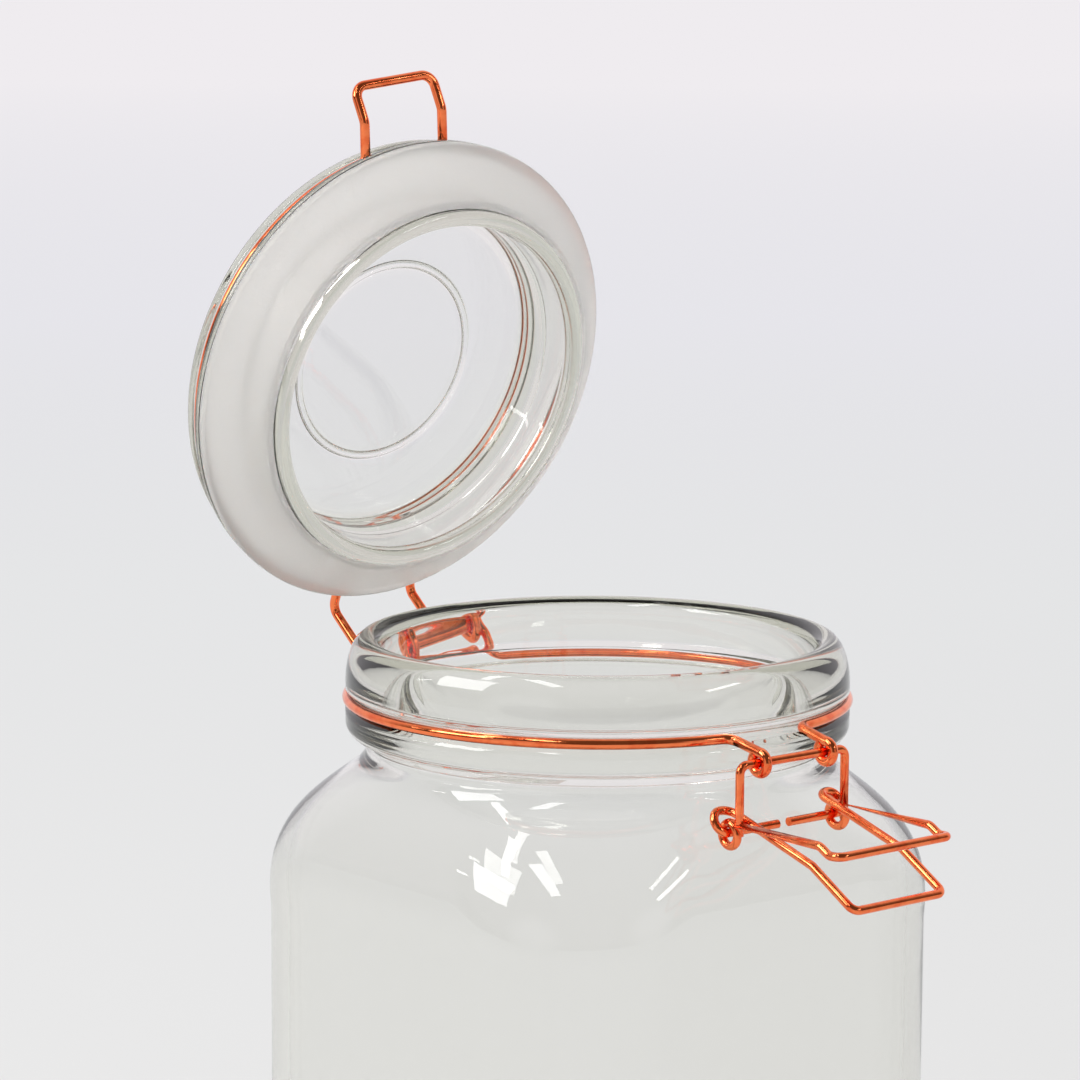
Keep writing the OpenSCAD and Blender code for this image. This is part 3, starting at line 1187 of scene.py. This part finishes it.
@dataclass
class Studio:
    """Camera, floor, surroundings and lamps; angles in degrees."""

    focal: float = 400 / 3
    sensor: float = 36.0
    clip: tuple[float, float] = (0.02, 50.0)
    azimuth: float = -39.76
    elevation: float = 8.57
    roll: float = -0.25
    offset: Point = Vector((-0.01138, 0.03069, 0.794))
    focus: Point = Vector((0, 0, 0.172))
    shoulder: Point = Vector((-0.04, -0.03, 0.155))
    backdrop: Colour = (0.880, 0.852, 0.880)
    # Floor colour by distance from the jar: painted shade near it and painted backdrop light far off.
    floor_painted_falloff: tuple[tuple[float, Colour], ...] = (
        (0.3, (0.716, 0.714, 0.714)), (1.2, (0.768, 0.772, 0.781)),
        (2.6, (0.814, 0.808, 0.849)), (8.0, (0.898, 0.870, 0.898)))
    floor_glow: float = 0.45
    floor_half: float = 80.0
    ambient: float = 0.93
    wall_colour: Colour = (0.13, 0.115, 0.085)
    room_edge: tuple[float, float] = (-0.1, 0.5)
    patches: tuple[Patch, ...] = (Patch(-75, 8, 14, 8, 0.9), Patch(10, 10, 12, 6, 0.8))
    lamps: tuple[Lamp, ...] = (
        Lamp("window", -112, 34, 1.3, (0.56, 0.50), 7.6, 12.0),
        Lamp("window_bar", -124, 60, 1.3, (0.62, 0.09), 7.6, 133.3),
        Lamp("top_bar", -79, 61.6, 1.3, (0.68, 0.13), 7.6, -47.1),
        Lamp("ledge", -132, 23, 1.3, (0.20, 0.03), 7.6, 42.0),
        Lamp("fill", 25, 31, 1.4, (0.50, 0.09), 9.0, 20.0),
    )

    @staticmethod
    def direction(azimuth: float, elevation: float) -> Point:
        """Direction from the jar; the azimuth is counted from the front."""
        a, e = math.radians(azimuth), math.radians(elevation)
        return Vector((math.sin(a) * math.cos(e), -math.cos(a) * math.cos(e), math.sin(e)))

    @property
    def away(self) -> Point:
        """Level direction from the camera's side to the far side."""
        return -self.direction(self.azimuth, 0)

    def camera(self) -> None:
        """Creates the camera at the viewing angle of the open jar."""
        a, roll = math.radians(self.azimuth), math.radians(self.roll)
        back = self.direction(self.azimuth, self.elevation)
        right = Vector((math.cos(a), math.sin(a), 0))
        up = back.cross(right)
        c, s = math.cos(roll), math.sin(roll)
        right, up = right * c - up * s, right * s + up * c
        turn = Matrix((right, up, back)).transposed()
        data = bpy.data.cameras.new("camera")
        data.sensor_width, data.lens = self.sensor, self.focal
        data.clip_start, data.clip_end = self.clip
        thing = bpy.data.objects.new("camera", data)
        thing.matrix_world = Matrix.Translation(self.focus + turn @ self.offset) @ turn.to_4x4()
        bpy.context.scene.collection.objects.link(thing)
        bpy.context.scene.camera = thing

    def surroundings(self) -> None:
        """Makes the world: the plain backdrop to the eye and through glass, a room in reflections."""
        world = Shader("studio", world=True)
        bpy.context.scene.world = world.owner
        path = world.node("ShaderNodeLightPath")
        seen = world.node("ShaderNodeBackground", (*self.backdrop, 1))
        room = world.node("ShaderNodeBackground", self.walls(world))
        lit = world.node("ShaderNodeBackground", (1, 1, 1, 1), self.ambient)
        lighting = world.mixed(path.outputs["Is Glossy Ray"], lit.outputs["Background"],
                               room.outputs["Background"])
        plain = world.larger(path.outputs["Is Camera Ray"], path.outputs["Is Transmission Ray"])
        world.surface(world.mixed(plain, lighting, seen.outputs["Background"]))

    def walls(self, world: Shader) -> Socket:
        """Adds the room of the reflections: pale on the far side, dim with pale windows on the near one.

        Args:
            world: The world under construction.

        Returns:
            The room's colour.
        """
        way = world.node("ShaderNodeTexCoord").outputs["Generated"]
        light = world.spread(world.along(way, self.away), 0.0, 1.0, *self.room_edge, smooth=True)
        for patch in self.patches:
            near = world.along(way, self.direction(patch.azimuth, patch.elevation))
            edges = [math.cos(math.radians(patch.radius + soft)) for soft in (patch.soft, -patch.soft)]
            light = world.larger(light, world.spread(near, 0.0, patch.level, *edges, smooth=True))
        return world.blend(light, self.wall_colour, self.backdrop)

    def floor(self) -> None:
        """Lays the pale floor, which keeps the shadow; its colour is painted light and shade, darker near
        the jar and lighter far off.
        """
        shader = Shader("pale_floor")
        reach = self.floor_painted_falloff[-1][0]
        distance = shader.along(shader.place(), self.away)
        # The ramp paints light and shade into the floor colour: darker near the jar, lighter far off.
        ramp = shader.node("ShaderNodeValToRGB", shader.spread(distance, 0.0, 1.0, 0.0, reach))
        stops = ramp.color_ramp.elements
        for i, (far, tone) in enumerate(self.floor_painted_falloff):
            stop = stops[i] if i < 2 else stops.new(1.0)
            stop.position, stop.color = far / reach, (*tone, 1)
        flat, glow = (shader.node(kind, ramp.outputs["Color"])
                      for kind in ("ShaderNodeBsdfDiffuse", "ShaderNodeEmission"))
        shader.surface(shader.mixed(self.floor_glow, flat.outputs["BSDF"], glow.outputs["Emission"]))
        mesh = bpy.data.meshes.new("floor")
        corners = ((-1, -1), (1, -1), (1, 1), (-1, 1))
        mesh.from_pydata([(self.floor_half * x, self.floor_half * y, 0) for x, y in corners],
                         [], [(0, 1, 2, 3)])
        mesh.materials.append(shader.owner)
        thing = bpy.data.objects.new("floor", mesh)
        bpy.context.scene.collection.objects.link(thing)

    def hang(self, lamp: Lamp) -> None:
        """Hangs a soft box that points at the jar's shoulder.

        Args:
            lamp: Where and how it hangs.
        """
        data = bpy.data.lights.new(lamp.name, "AREA")
        data.shape = "RECTANGLE"
        data.size, data.size_y = lamp.size
        data.energy = lamp.radiance * math.pi * lamp.size[0] * lamp.size[1]
        thing = bpy.data.objects.new(lamp.name, data)
        way = self.direction(lamp.azimuth, lamp.elevation)
        turn = way.to_track_quat("Z", "Y").to_matrix().to_4x4()
        place = Matrix.Translation(self.shoulder + way * lamp.distance)
        thing.matrix_world = place @ turn @ Matrix.Rotation(math.radians(lamp.roll), 4, "Z")
        bpy.context.scene.collection.objects.link(thing)

    def build(self) -> None:
        """Sets the whole stage and the plain colour transform."""
        bpy.context.scene.view_settings.view_transform = "Standard"
        self.camera()
        self.surroundings()
        self.floor()
        for lamp in self.lamps:
            self.hang(lamp)


def main() -> None:
    """Builds the stage and every piece in order."""
    logging.basicConfig(level=logging.INFO, format="%(message)s")
    Studio().build()
    glass = GlassFinish().make()
    copper = CopperFinish().make()
    silicone = SiliconeFinish().make()
    lid = Lid(Hinge.of("lid_hinge"))
    pieces = [JarGlass().build(glass)]
    pieces += lid.build(glass, silicone)
    pieces += WireWorks(SweepTree(), copper, lid).build()
    LOG.info("%d pieces", len(pieces))


if __name__ == "__main__":
    main()
